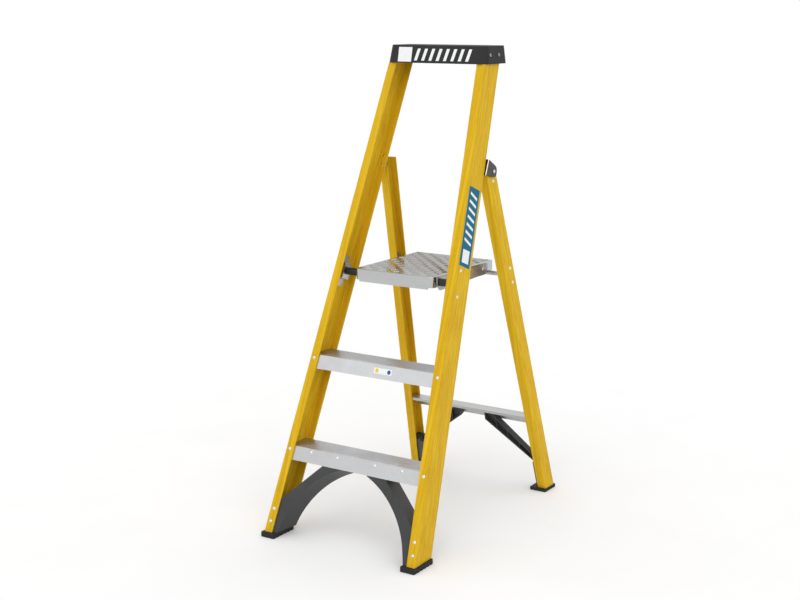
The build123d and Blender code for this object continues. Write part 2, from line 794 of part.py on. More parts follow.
front_pad = foot_pad(
    front_half_width + front_foot_proud,
    front_face_y - front_foot_lip,
    front_foot_width,
    front_foot_depth,
    front_foot_height,
)
rear_pad = foot_pad(
    rear_half_width + rear_foot_proud,
    leg_back_y + rear_foot_lip - rear_foot_depth,
    rear_foot_width,
    rear_foot_depth,
    rear_foot_height,
)
nodes["front_foot_pad_right"] = front_pad
nodes["front_foot_pad_left"] = mirrored(front_pad)
nodes["rear_foot_pad_right"] = rear_pad
nodes["rear_foot_pad_left"] = mirrored(rear_pad)

# ================================================================== rear legs
bar_web_back = leg_depth - leg_wall
bar_web_front = bar_web_back - rear_bar_sheet
bar_bottom = rear_bar_height - rear_bar_web
bar_rivet_s = rear_s(bar_web_back, (rear_bar_height + bar_bottom) / 2)
bar_grip = leg_wall + rear_bar_sheet


def leg_flange_place(s):
    return REAR * Pos(leg_x(s, flange_rivet_inset), leg_depth, s) * BACKWARD


bar_rivets = [leg_flange_place(bar_rivet_s + side * bar_rivet_spread) for side in (-1, 1)]
rear_leg_brace_rivets = [leg_flange_place(s) for s in rear_leg_rivet_heights]
rear_brace_grip = leg_wall + seat_clearance + brace_wall

leg_length = leg_top_height / rear_cos + 2 * leg_depth
leg = LEG * Pos(0, 0, -leg_depth) * channel(leg_depth, leg_flange, leg_wall, leg_length)
leg = below(above(leg, rear_foot_height), leg_top_height)
notch_low = rear_s(0, leg_flange_top)
notch_side = leg_x(rear_s(0, leg_top_height), leg_wall) - seat_clearance
leg -= REAR * slab((0, notch_side), (-1, leg_flange_relief), (notch_low, leg_length))
# Opened fully, the leg's top corner stands against the bracket's base. Below the pin the corner
# is rounded so that it passes the base as the frame folds.
stop_depth = base_back + rest_gap
leg -= FRONT * slab((0, rear_half_width), (0, stop_depth), (hinge_s, hinge_s + 2 * leg_depth))
corner = FRONT * slab(
    (0, rear_half_width), (0, hinge_depth), (hinge_s - leg_corner_swing, hinge_s)
)
leg -= corner - pivot_cylinder(hinge_depth - stop_depth, -1, rear_half_width + 1)
leg_end_axial = pivot_leg_s / cos(radians(rear_taper)) - leg_end_rivet_below
leg_end_rivets = [LEG * Pos(0, leg_end_rivet_depth, leg_end_axial) * OUTWARD]
leg = cut(leg, leg_end_rivets, rivet_hole(leg_wall))
nodes["leg_end_rivets"] = both_sides(leg_end_rivets, rivet(leg_wall))
leg -= pivot_cylinder(hinge_pin_radius + running_clearance, 0, rear_half_width)
leg = cut(leg, rear_bracket_rivets, rivet_hole(rear_bracket_grip))
leg = cut(leg, bar_rivets, rivet_hole(bar_grip))
leg = cut(leg, rear_leg_brace_rivets, rivet_hole(rear_brace_grip))
nodes["rear_leg_right"] = leg
nodes["rear_leg_left"] = mirrored(leg)

# ================================================================== rear crossbar
bar_front = leg_wall + seat_clearance
bar_under = rear_bar_height - rear_bar_sheet
bar_section = outline(
    (rear_y(bar_front, rear_bar_height), rear_bar_height),
    (rear_y(bar_web_back, rear_bar_height), rear_bar_height),
    (rear_y(bar_web_back, bar_bottom), bar_bottom),
    (rear_y(bar_web_front, bar_bottom), bar_bottom),
    (rear_y(bar_web_front, bar_under), bar_under),
    (rear_y(bar_front + rear_bar_sheet, bar_under), bar_under),
    (rear_y(bar_front + rear_bar_sheet, bar_under - rear_bar_lip), bar_under - rear_bar_lip),
    (rear_y(bar_front, bar_under - rear_bar_lip), bar_under - rear_bar_lip),
)
leg_room = REAR * room_between(leg_x, leg_wall, leg_depth)
bar = across(bar_section, rear_half_width) & leg_room

# ================================================================== rear braces
floor_back = bar_web_front - seat_clearance
floor_front = floor_back - brace_wall
rim_front = floor_back - rear_brace_rim
brace_top_s = rear_s(floor_back, bar_under) - rear_brace_top_gap
brace_end_s = rear_s(floor_back, bar_bottom) - rear_brace_end_gap
post_inner = leg_x(rear_brace_high_meet, leg_flange) - rear_brace_proud
arm_face = outline(
    (rear_brace_inner_x, brace_end_s),
    (rear_brace_inner_x, brace_top_s),
    (rear_brace_inner_x + rear_brace_top_length, brace_top_s),
    (post_inner + 1, rear_brace_high_meet),
    (post_inner + 1, rear_brace_low_meet),
)
arm = upright_plate(arm_face, rim_front, floor_back)
arm_hollow = offset(arm_face, -brace_wall, kind=Kind.INTERSECTION)
arm -= upright_plate(arm_hollow, rim_front - 1, floor_front)
arm_low = min(rear_brace_low_meet, brace_end_s)
rib_x = rear_brace_inner_x + brace_rib_pitch
while rib_x < post_inner:
    rib = slab(
        (rib_x - brace_rib / 2, rib_x + brace_rib / 2),
        (rim_front + brace_rib_set_back, floor_back),
        (arm_low, brace_top_s),
    )
    arm += rib & upright_plate(arm_face, rim_front, floor_back)
    rib_x += brace_rib_pitch
post_face = outline(
    (leg_x(lowest, leg_flange) - rear_brace_proud, lowest),
    (leg_x(lowest, leg_wall), lowest),
    (leg_x(rear_brace_high_meet, leg_wall), rear_brace_high_meet),
    (post_inner, rear_brace_high_meet),
)
post_near = leg_wall + seat_clearance
post_far = leg_depth - leg_wall - seat_clearance
post = upright_plate(post_face, post_near, post_far)
post -= upright_plate(
    offset(post_face, -brace_wall, kind=Kind.INTERSECTION), post_near - 1, post_far - brace_wall
)
for share in rear_post_rib_shares:
    s = share * rear_brace_high_meet
    post += upright_plate(post_face, post_near + brace_rib_set_back, post_far) & slab(
        (0, rear_half_width), (0, leg_depth), (s, s + brace_rib)
    )
post_floor = REAR * upright_plate(post_face, post_near, post_far)
post_floor = below(above(post_floor, rear_foot_height), rear_foot_height + brace_wall)
rear_brace = above(REAR * (arm + post), rear_foot_height) + post_floor
rear_brace = rear_brace & leg_room
bar_brace_places = [
    REAR * Pos(rear_brace_inner_x + run, bar_web_back, bar_rivet_s) * BACKWARD
    for run in bar_brace_rivet_runs
]
bar_brace_grip = rear_bar_sheet + seat_clearance + brace_wall
rear_brace = cut(rear_brace, bar_brace_places, rivet_hole(bar_brace_grip))
rear_brace = cut(rear_brace, rear_leg_brace_rivets, rivet_hole(rear_brace_grip))
bar = cut_both(bar, bar_brace_places, rivet_hole(bar_brace_grip))
bar = cut_both(bar, bar_rivets, rivet_hole(bar_grip))
nodes["rear_crossbar"] = bar
nodes["rear_brace_right"] = rear_brace
nodes["rear_brace_left"] = mirrored(rear_brace)
nodes["rear_crossbar_rivets"] = both_sides(bar_rivets, rivet(bar_grip))
nodes["rear_brace_rivets"] = Compound(
    children=[
        both_sides(bar_brace_places, rivet(bar_brace_grip)),
        both_sides(rear_leg_brace_rivets, rivet(rear_brace_grip)),
    ]
)

# ================================================================== platform
tray_front = front_rod_y - platform_front_reach
tray_back = rear_rod_y + platform_rear_reach
tray_depth = tray_back - tray_front
tray_middle = (tray_front + tray_back) / 2
tray_bottom = platform_height - platform_side_skirt
tray_outline = Pos(0, tray_middle) * Rectangle(2 * platform_half_width, tray_depth)
tray_outline = fillet(tray_outline.vertices().sort_by(Axis.Y)[:2], platform_corner)
tray_outline = fillet(tray_outline.vertices().sort_by(Axis.Y)[-2:], platform_corner / 4)
tray = Pos(0, 0, platform_height - platform_front_skirt) * extrude(tray_outline, platform_front_skirt)
tray = fillet(tray.faces().sort_by(Axis.Z)[-1].edges(), platform_sheet * 0.9)
tray_hollow = offset(tray_outline, -platform_sheet)
tray -= Pos(0, 0, platform_height - platform_front_skirt - 1) * extrude(
    tray_hollow, platform_front_skirt + 1 - platform_sheet
)
side_and_back = slab(
    (-platform_half_width - 1, platform_half_width + 1),
    (tray_front + platform_corner, tray_back + 1),
    (platform_height - platform_front_skirt - 1, tray_bottom),
)
tray -= side_and_back
lip_half = platform_half_width - platform_corner
lip_low = platform_height - platform_front_skirt - platform_lip_drop
tray += slab(
    (-lip_half, lip_half),
    (tray_front, tray_front + platform_sheet),
    (lip_low, platform_height - platform_front_skirt),
)
tray -= rod_line(
    front_rod_y, front_rod_z, front_rod_radius + rod_hole_room, platform_half_width + 1
)

plate_low = platform_height - side_plate_drop
plate_rear_low = platform_height - side_plate_rear_drop
plate_top = platform_height - side_plate_top_drop
plate_back = rear_rod_y - side_plate_rear_gap
plate_front = front_rod_y - side_plate_front_lead
plate_face = outline(
    (plate_front, plate_low + side_plate_nose),
    (plate_front + side_plate_nose, plate_low),
    (plate_front + side_plate_deep_run, plate_low),
    (plate_back - side_plate_deep_run, plate_rear_low),
    (plate_back - side_plate_tail, plate_rear_low),
    (plate_back, plate_rear_low + side_plate_tail),
    (plate_back, plate_top),
    (plate_front, plate_top),
)
plate_face = fillet(plate_face.vertices(), side_plate_round)
side_plate = across(plate_face, side_plate_thickness / 2)
side_plate = Pos(platform_half_width + side_plate_thickness / 2, 0, 0) * side_plate
side_plate -= rod_line(
    front_rod_y, front_rod_z, front_rod_radius + running_clearance, front_half_width
)
plate_rivet_z = plate_top - plate_rivet_drop
plate_run = plate_back - plate_front
plate_rivets = [
    Pos(platform_half_width + side_plate_thickness, plate_front + share * plate_run, plate_rivet_z)
    * OUTWARD
    for share in plate_rivet_shares
]
plate_grip = side_plate_thickness + platform_sheet
side_plate = cut(side_plate, plate_rivets, rivet_hole(plate_grip))
tray = cut_both(tray, plate_rivets, rivet_hole(plate_grip))
nodes["platform_tray"] = tray
nodes["platform_side_plate_right"] = side_plate
nodes["platform_side_plate_left"] = mirrored(side_plate)
nodes["platform_rivets"] = both_sides(plate_rivets, rivet(plate_grip))

# ================================================================== cap
cap = loft([cap_section(cap_bottom, 0), cap_section(overall_height, 0)])
cap = fillet(cap.faces().sort_by(Axis.Z)[-1].edges(), cap_top_round)
cap_inside = loft(
    [cap_section(cap_bottom - 1, cap_wall), cap_section(overall_height - cap_wall, cap_wall)]
)
rib_plates = Part()
stile_tip_x = stile_x(front_s(0, cap_bottom + stile_in_cap), stile_flange)
for rib_x in (cap_inner_rib_x, stile_tip_x - cap_rib_off_stile):
    for side in (-1, 1):
        rib_plates += slab(
            (side * rib_x - cap_rib / 2, side * rib_x + cap_rib / 2),
            (cap_front_y, cap_back_y),
            (cap_bottom + 1, overall_height - cap_wall / 2),
        )
rib_plates = rib_plates & loft(
    [cap_section(cap_bottom, cap_wall / 2), cap_section(overall_height - cap_wall / 2, cap_wall / 2)]
)
cap = cap - cap_inside + rib_plates
cap = cut_both(cap, cap_screws, cap_screw_hole)
nodes["top_cap"] = cap
screw_head = Cylinder(cap_screw_head_radius, cap_screw_head_height)
screw_head = Pos(0, 0, cap_screw_head_height / 2) * screw_head
screw_head = fillet(screw_head.faces().sort_by(Axis.Z)[-1].edges(), cap_screw_head_height / 2)
slot_length, slot_width, slot_depth = cap_screw_slot
slot = Box(slot_length, slot_width, 2 * slot_depth) + Box(slot_width, slot_length, 2 * slot_depth)
screw_head -= Pos(0, 0, cap_screw_head_height) * slot
screw_shank = Cylinder(cap_screw_radius, cap_screw_length)
cap_screw = screw_head + Pos(0, 0, -cap_screw_length / 2) * screw_shank
nodes["top_cap_screws"] = both_sides(cap_screws, cap_screw)

# ================================================================== labels
label = slab(
    (0, label_thickness),
    (label_inset, label_inset + label_width),
    (label_bottom, label_bottom + label_length),
)
label = fillet(label.edges().filter_by(Axis.X), label_corner)
nodes["side_label"] = STILE * label
sticker_s = front_s(stile_wall, tread_heights[-1] - sticker_drop)
nodes["tread_sticker"] = FRONT * slab(
    (0, sticker_width),
    (stile_wall - label_thickness, stile_wall),
    (sticker_s - sticker_height / 2, sticker_s + sticker_height / 2),
)

os.makedirs("parts", exist_ok=True)
for name, shape in nodes.items():
    export_step(shape, f"parts/{name}.step")
print(len(nodes), "nodes; rear lean", round(rear_lean, 4))
print("hinge", round(hinge_y, 3), hinge_height, "front rod", round(front_rod_y, 3), round(front_rod_z, 3))
print("rear rod", round(rear_rod_y, 3), round(rear_rod_z, 3))
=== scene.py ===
import math

import bpy
from mathutils import Matrix, Vector
from mathutils.bvhtree import BVHTree


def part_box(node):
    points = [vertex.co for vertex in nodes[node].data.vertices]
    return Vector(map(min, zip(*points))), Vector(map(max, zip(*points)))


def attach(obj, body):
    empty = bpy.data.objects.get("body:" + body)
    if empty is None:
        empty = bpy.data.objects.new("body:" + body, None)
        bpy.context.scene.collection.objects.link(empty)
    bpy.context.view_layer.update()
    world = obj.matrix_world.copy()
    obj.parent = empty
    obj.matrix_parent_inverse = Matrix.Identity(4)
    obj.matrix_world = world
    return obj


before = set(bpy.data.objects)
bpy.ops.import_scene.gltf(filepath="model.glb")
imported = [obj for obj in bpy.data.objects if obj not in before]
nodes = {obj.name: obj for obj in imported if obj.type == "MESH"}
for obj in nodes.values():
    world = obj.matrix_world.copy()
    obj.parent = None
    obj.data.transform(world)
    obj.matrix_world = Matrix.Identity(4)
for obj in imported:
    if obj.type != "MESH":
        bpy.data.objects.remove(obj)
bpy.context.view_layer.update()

MM = 0.001
FRONT_LEAN = math.radians(21.2)  # the stiles lean back
REAR_LEAN = math.radians(15.668)  # the rear legs lean forward
STILE_FACE_Y = -382.5 * MM  # front face of the stiles, on the floor
MIX_FACTOR, MIX_A, MIX_B, MIX_RESULT = 0, 6, 7, 2  # the sockets of a Mix node that mixes colours


# ------------------------------------------------------------------ material building
class Finish:
    """A procedural material around one Principled shader, in the object's own coordinates."""

    def __init__(self, name, **values):
        self.material = bpy.data.materials.new(name)
        self.material.use_nodes = True
        self.tree = self.material.node_tree
        self.tree.nodes.clear()
        output = self.add("ShaderNodeOutputMaterial")
        self.shader = self.add("ShaderNodeBsdfPrincipled")
        self.tree.links.new(self.shader.outputs["BSDF"], output.inputs["Surface"])
        for socket, value in values.items():
            self.set(socket.replace("_", " "), value)
        self.place = self.add("ShaderNodeTexCoord").outputs["Object"]
        self.normal = None

    def add(self, kind, **settings):
        node = self.tree.nodes.new(kind)
        for key, value in settings.items():
            setattr(node, key, value)
        return node

    def put(self, socket, value):
        """A link from another socket, or a plain value."""
        if isinstance(value, bpy.types.NodeSocket):
            self.tree.links.new(value, socket)
        else:
            socket.default_value = value

    def set(self, name, value):
        self.put(self.shader.inputs[name], value)

    def stretched(self, scale, turn=(0, 0, 0)):
        """Object coordinates turned, then scaled on each axis."""
        turned = self.add("ShaderNodeMapping", vector_type="POINT")
        self.put(turned.inputs["Vector"], self.place)
        turned.inputs["Rotation"].default_value = turn
        sized = self.add("ShaderNodeMapping", vector_type="POINT")
        self.put(sized.inputs["Vector"], turned.outputs["Vector"])
        sized.inputs["Scale"].default_value = scale
        return sized.outputs["Vector"]

    def noise(self, vector, detail=3.0, roughness=0.55, distortion=0.0):
        node = self.add("ShaderNodeTexNoise")
        self.put(node.inputs["Vector"], vector)
        node.inputs["Scale"].default_value = 1.0
        node.inputs["Detail"].default_value = detail
        node.inputs["Roughness"].default_value = roughness
        node.inputs["Distortion"].default_value = distortion
        return node.outputs["Fac"]

    def blotches(self, scale, **options):
        """Noise of the same scale on every axis."""
        return self.noise(self.stretched((scale, scale, scale)), **options)

    def cells(self, vector, feature="F1", output="Distance"):
        node = self.add("ShaderNodeTexVoronoi", feature=feature)
        self.put(node.inputs["Vector"], vector)
        node.inputs["Scale"].default_value = 1.0
        return node.outputs[output]

    def span(self, value, low, high, to_low=0.0, to_high=1.0):
        """The value's range low..high carried to to_low..to_high, and held at the ends."""
        node = self.add("ShaderNodeMapRange", clamp=True)
        self.put(node.inputs["Value"], value)
        ends = node.inputs[1:5]  # From Min, From Max, To Min and To Max
        for socket, number in zip(ends, (low, high, to_low, to_high)):
            self.put(socket, number)
        return node.outputs["Result"]

    def math(self, operation, *values):
        node = self.add("ShaderNodeMath", operation=operation)
        for socket, value in zip(node.inputs, values):
            self.put(socket, value)
        return node.outputs["Value"]

    def times(self, a, b):
        return self.math("MULTIPLY", a, b)

    def plus(self, a, b):
        return self.math("ADD", a, b)

    def mix(self, factor, a, b):
        node = self.add("ShaderNodeMix", data_type="RGBA", blend_type="MIX")
        self.put(node.inputs[MIX_FACTOR], factor)
        self.put(node.inputs[MIX_A], a)
        self.put(node.inputs[MIX_B], b)
        return node.outputs[MIX_RESULT]

    def axis(self, name, vector):
        node = self.add("ShaderNodeSeparateXYZ")
        self.put(node.inputs[0], vector)
        return node.outputs[name]

    def facing(self, name):
        """How far the surface faces along an axis, either way."""
        normal = self.add("ShaderNodeTexCoord").outputs["Normal"]
        return self.math("ABSOLUTE", self.axis(name, normal))

    def edges(self, radius):
        """1 along convex and concave edges, 0 on open faces."""
        soft = self.add("ShaderNodeBevel", samples=4)
        soft.inputs["Radius"].default_value = radius
        dot = self.add("ShaderNodeVectorMath", operation="DOT_PRODUCT")
        self.put(dot.inputs[0], soft.outputs["Normal"])
        self.put(dot.inputs[1], self.add("ShaderNodeNewGeometry").outputs["Normal"])
        return self.span(self.math("SUBTRACT", 1.0, dot.outputs["Value"]), 0.02, 0.25)

    def bump(self, height, distance, strength):
        """Bump on top of any bump that came before it."""
        node = self.add("ShaderNodeBump")
        self.put(node.inputs["Height"], height)
        node.inputs["Distance"].default_value = distance
        node.inputs["Strength"].default_value = strength
        if self.normal is not None:
            self.put(node.inputs["Normal"], self.normal)
        self.normal = node.outputs["Normal"]
        self.put(self.shader.inputs["Normal"], self.normal)


# Colours are linear. Those given by rgb() are 8-bit sRGB, and the metals' are reflectances.
def rgb(red, green, blue):
    def linear(value):
        value /= 255
        return value / 12.92 if value <= 0.04045 else ((value + 0.055) / 1.055) ** 2.4
    return (linear(red), linear(green), linear(blue), 1.0)


def grey(level):
    return (level, level, level, 1.0)


def shade(colour, times=1.0, plus=0.0):
    """The colour darker or lighter, and no part of it over 1."""
    return tuple(min(1.0, times * part + plus) for part in colour[:3]) + (1.0,)


# ------------------------------------------------------------------ materials
def glass_fibre(name, lean):
    """Pultruded yellow glass fibre: long streaks, a faint surface veil, paler edges that are partly wear
    and partly a painted highlight, grimy feet.
    """
    dark, light = rgb(196, 153, 6), rgb(222, 182, 28)
    thread_yellow, cloud_amber = rgb(228, 190, 52), rgb(200, 146, 8)
    veil_pale, edge_wear_and_highlight, grime_brown = rgb(234, 204, 88), rgb(238, 216, 116), rgb(120, 96, 40)
    along = (lean, 0, 0)
    f = Finish(name, Specular_IOR_Level=0.07)

    streaks = f.noise(f.stretched((190, 190, 2.2), along), detail=4)
    threads = f.noise(f.stretched((620, 620, 9.0), along), detail=2)
    clouds = f.noise(f.stretched((9, 9, 5)))
    veil = f.cells(f.stretched((260, 260, 90), along), feature="SMOOTH_F1")
    colour = f.mix(f.span(streaks, 0.38, 0.62), dark, light)
    colour = f.mix(f.span(threads, 0.35, 0.75, 0.0, 0.35), colour, thread_yellow)
    colour = f.mix(f.span(clouds, 0.35, 0.7, 0.0, 0.3), colour, cloud_amber)
    colour = f.mix(f.span(veil, 0.1, 0.6, 0.1, 0.0), colour, veil_pale)

    # Paler edges: partly wear, partly a painted highlight along the corners between faces.
    worn = f.times(f.edges(1.6 * MM), f.span(f.blotches(60), 0.35, 0.6, 0.25, 0.7))
    colour = f.mix(worn, colour, edge_wear_and_highlight)
    near_floor = f.span(f.axis("Z", f.place), 0.02, 0.3, 1.0, 0.0)
    dirt = f.span(f.noise(f.stretched((26, 26, 14)), detail=6), 0.5, 0.75, 0.0, 0.28)
    grime = f.times(near_floor, dirt)
    colour = f.mix(grime, colour, grime_brown)

    f.set("Base Color", colour)
    f.set("Roughness", f.plus(f.span(streaks, 0.2, 0.8, 0.36, 0.5), f.times(grime, 0.5)))
    f.bump(streaks, 0.35 * MM, 0.5)
    f.bump(threads, 0.12 * MM, 0.5)
    return f.material


def aluminium(name, draw, tint=(0.62, 0.625, 0.635, 1.0), rough=(0.26, 0.42)):
    """Mill-finish aluminium with draw lines, smudges and a few short scratches."""
    smudge_grey, line_pale = (0.46, 0.46, 0.47, 1.0), (0.78, 0.785, 0.79, 1.0)
    edge_bright, scratch_bright = grey(0.92), grey(0.9)
    f = Finish(name, Metallic=1.0, Anisotropic=0.3)

    lines = f.noise(f.stretched(draw), detail=5, roughness=0.65)
    smudge = f.blotches(13, detail=5, distortion=0.6)
    cracks = f.cells(f.stretched((34, 260, 34), (0.5, 0.3, 0.7)), feature="DISTANCE_TO_EDGE")
    scratch = f.times(f.span(cracks, 0.0, 0.02, 1.0, 0.0), f.span(f.blotches(21), 0.56, 0.66))
    colour = f.mix(f.span(smudge, 0.35, 0.75, 0.0, 0.35), tint, smudge_grey)
    colour = f.mix(f.span(lines, 0.3, 0.7, 0.0, 0.18), colour, line_pale)
    colour = f.mix(f.times(f.edges(0.8 * MM), 0.4), colour, edge_bright)
    colour = f.mix(f.times(scratch, 0.35), colour, scratch_bright)

    f.set("Base Color", colour)
    gloss = f.span(smudge, 0.3, 0.75, *rough)
    f.set("Roughness", f.plus(gloss, f.span(lines, 0.3, 0.7, -0.04, 0.05)))
    f.bump(lines, 0.06 * MM, 0.6)
    f.bump(scratch, 0.08 * MM, 0.3)
    return f.material


def steel(name, base, rough, grain=700.0, painted_fold_highlight=False):
    """Plated steel: fine crystalline mottling, duller patches, bright edges, and, where asked, a painted
    highlight along the outside of a bend.
    """
    fold_highlight_colour = (0.9, 0.84, 0.8, 1.0)
    f = Finish(name, Metallic=1.0)

    spangle = f.cells(f.stretched((grain, grain, grain)), output="Color")
    spread = f.axis("X", spangle)
    patch = f.blotches(70, detail=5)
    colour = f.mix(f.span(patch, 0.35, 0.7), base, shade(base, times=0.62))
    colour = f.mix(f.times(spread, 0.3), colour, shade(base, times=1.25))
    colour = f.mix(f.times(f.edges(0.7 * MM), 0.5), colour, shade(base, plus=0.35))
    if painted_fold_highlight:  # a painted highlight along the outside of the bend between the side and the front
        fold_highlight_mask = f.span(f.times(f.facing("X"), f.facing("Y")), 0.08, 0.25)
        colour = f.mix(fold_highlight_mask, colour, fold_highlight_colour)

    f.set("Base Color", colour)
    f.set("Roughness", f.span(patch, 0.3, 0.75, *rough))
    f.bump(patch, 0.1 * MM, 0.4)
    f.bump(spread, 0.02 * MM, 0.4)
    return f.material


def moulded(name, base, pale, rough=(0.42, 0.58), spec=0.4):
    """Moulded black plastic or rubber: spark-eroded grain, scuffs and paler edges."""
    f = Finish(name, Specular_IOR_Level=spec)

    grain = f.blotches(900, detail=2)
    clouds = f.blotches(16, detail=5)
    scuff = f.noise(f.stretched((45, 210, 60), (0.4, 0.8, 0.3)), detail=6, roughness=0.7)
    colour = f.mix(f.span(clouds, 0.3, 0.75), base, shade(base, times=1.35))
    worn = f.times(f.edges(1.0 * MM), f.span(clouds, 0.3, 0.7, 0.2, 0.65))
    colour = f.mix(worn, colour, pale)
    colour = f.mix(f.span(scuff, 0.62, 0.78, 0.0, 0.3), colour, pale)

    f.set("Base Color", colour)
    gloss = f.span(clouds, 0.3, 0.7, *rough)
    f.set("Roughness", f.plus(gloss, f.span(grain, 0.3, 0.7, -0.03, 0.05)))
    f.bump(grain, 0.09 * MM, 0.6)
    return f.material


def film(name, base, fade):
    """Printed vinyl film with a faint orange-peel surface and slightly faded patches."""
    f = Finish(name, Specular_IOR_Level=0.08)

    clouds = f.blotches(30, detail=5)
    peel = f.blotches(800, detail=1)
    f.set("Base Color", f.mix(f.span(clouds, 0.35, 0.75, 0.0, 0.5), base, fade))
    f.set("Roughness", f.span(clouds, 0.3, 0.7, 0.28, 0.42))
    f.bump(peel, 0.03 * MM, 0.4)
    return f.material


def floor_paint():
    """Matt pale paint with very faint clouds."""
    f = Finish("floor_paint", Roughness=0.9, Specular_IOR_Level=0.1)
    f.set("Base Color", f.mix(f.span(f.blotches(3), 0.3, 0.7), grey(0.93), grey(0.95)))
    return f.material


SHEET_DRAW = (5, 700, 700)  # scale of the draw lines, which run along X
DECK_DRAW = (7, 420, 560)
PATTERN_DRAW = (90, 420, 560)
front_fibre = glass_fibre("glass_fibre_front", FRONT_LEAN)
rear_fibre = glass_fibre("glass_fibre_rear", -REAR_LEAN)
tread_metal = aluminium("tread_aluminium", SHEET_DRAW)
bar_metal = aluminium("crossbar_aluminium", SHEET_DRAW, tint=grey(0.5), rough=(0.3, 0.45))
deck_metal = aluminium("deck_aluminium", DECK_DRAW, tint=(0.47, 0.48, 0.475, 1.0), rough=(0.12, 0.22))
pattern_metal = aluminium(
    "pattern_aluminium", PATTERN_DRAW, tint=(0.36, 0.36, 0.35, 1.0), rough=(0.1, 0.2)
)
cap_plastic = moulded("cap_plastic", grey(0.028), grey(0.1), spec=0.12)
brace_plastic = moulded(
    "brace_plastic", (0.042, 0.043, 0.044, 1.0), (0.14, 0.14, 0.145, 1.0), rough=(0.38, 0.55), spec=0.28
)
spacer_plastic = moulded("spacer_plastic", (0.018, 0.018, 0.019, 1.0), grey(0.08))
sole_rubber = moulded("sole_rubber", (0.016, 0.016, 0.017, 1.0), grey(0.07), rough=(0.6, 0.8), spec=0.3)
rivet_metal = steel("rivet_steel", (0.82, 0.82, 0.8, 1.0), (0.16, 0.3), grain=1800)
hinge_metal = steel("hinge_steel", (0.075, 0.078, 0.068, 1.0), (0.22, 0.38), grain=420, painted_fold_highlight=True)
plate_metal = steel("bracket_steel", (0.55, 0.55, 0.54, 1.0), (0.3, 0.48))
side_metal = steel("side_plate_steel", (0.42, 0.42, 0.41, 1.0), (0.28, 0.42))
rod_metal = steel("rod_steel", (0.5, 0.5, 0.51, 1.0), (0.2, 0.34), grain=1200)
screw_metal = steel("screw_steel", (0.36, 0.36, 0.37, 1.0), (0.2, 0.35), grain=1800)
teal_film = film("teal_film", rgb(6, 100, 132), rgb(16, 112, 142))
white_film = film("white_film", rgb(236, 238, 238), rgb(222, 224, 224))
yellow_ink = film("yellow_ink", rgb(240, 196, 40), rgb(232, 186, 50))
blue_ink = film("blue_ink", rgb(52, 88, 160), rgb(64, 98, 165))

FINISHES = {  # by node, without its side, apart from the rivets
    "front_stile": front_fibre,
    "rear_leg": rear_fibre,
    "lower_tread": tread_metal,
    "middle_tread": tread_metal,
    "rear_crossbar": bar_metal,
    "platform_tray": deck_metal,
    "platform_side_plate": side_metal,
    "platform_spacer": spacer_plastic,
    "platform_front_rod": rod_metal,
    "rear_rod": rod_metal,
    "rear_rod_bracket": plate_metal,
    "front_rod_bracket": plate_metal,
    "top_cap": cap_plastic,
    "top_cap_screws": screw_metal,
    "front_brace": brace_plastic,
    "rear_brace": brace_plastic,
    "front_foot_pad": sole_rubber,
    "rear_foot_pad": sole_rubber,
    "hinge_bracket": hinge_metal,
    "hinge_pins": rivet_metal,
    "hinge_washers": rod_metal,
    "side_label": teal_film,
    "tread_sticker": white_film,
}
for name, obj in nodes.items():
    kind = name.removesuffix("_left").removesuffix("_right")
    obj.data.materials.clear()
    obj.data.materials.append(rivet_metal if "_rivets" in name else FINISHES[kind])


# ------------------------------------------------------------------ mesh helpers
def make_piece(name, verts, faces, material, body):
    mesh = bpy.data.meshes.new(name)
    mesh.from_pydata([tuple(v) for v in verts], [], faces)
    mesh.validate()
    mesh.update()
    mesh.materials.append(material)
    obj = bpy.data.objects.new(name, mesh)
    bpy.context.scene.collection.objects.link(obj)
    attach(obj, body)
    return obj


def surface_of(name):
    """A function that casts a ray onto a CAD node and gives the place and the normal where it hits."""
    mesh = nodes[name].data
    verts = [nodes[name].matrix_world @ v.co for v in mesh.vertices]
    tree = BVHTree.FromPolygons(verts, [tuple(p.vertices) for p in mesh.polygons])
    return lambda start, direction: tree.ray_cast(start, direction)[:2]


PRINT_PROUD = 0.15 * MM
PRINT_SUNK = 0.1 * MM
CAST_FROM = 50 * MM  # rays start this far off the surface
AHEAD = Vector((0, 1, 0))
INWARD = Vector((-1, 0, 0))


def print_shapes(name, shapes, node, to_world, direction, material):
    """Flat printed shapes on a CAD node: each outline is cast onto it and given a small thickness."""
    hit = surface_of(node)
    verts, faces = [], []
    for shape in shapes:
        first = len(verts)
        count = len(shape)
        points = [hit(to_world(*point), direction) for point in shape]
        verts += [place + normal * PRINT_PROUD for place, normal in points]
        verts += [place - normal * PRINT_SUNK for place, normal in points]
        top = list(range(first, first + count))
        under = list(range(first + count, first + 2 * count))
        faces += [top, under[::-1]]
        for a in range(count):
            b = (a + 1) % count
            faces.append([top[a], under[a], under[b], top[b]])
    return make_piece(name, verts, faces, material, "front_frame")


def slanted(left, low, width, height, lean=0.0):
    """Corners of an upright bar that leans to the right, anticlockwise."""
    return [
        (left, low),
        (left + width, low),
        (left + width + lean * height, low + height),
        (left + lean * height, low + height),
    ]


def circle(x, y, radius):
    count = 28
    angles = [2 * math.pi * n / count for n in range(count)]
    return [(x + radius * math.cos(angle), y + radius * math.sin(angle)) for angle in angles]


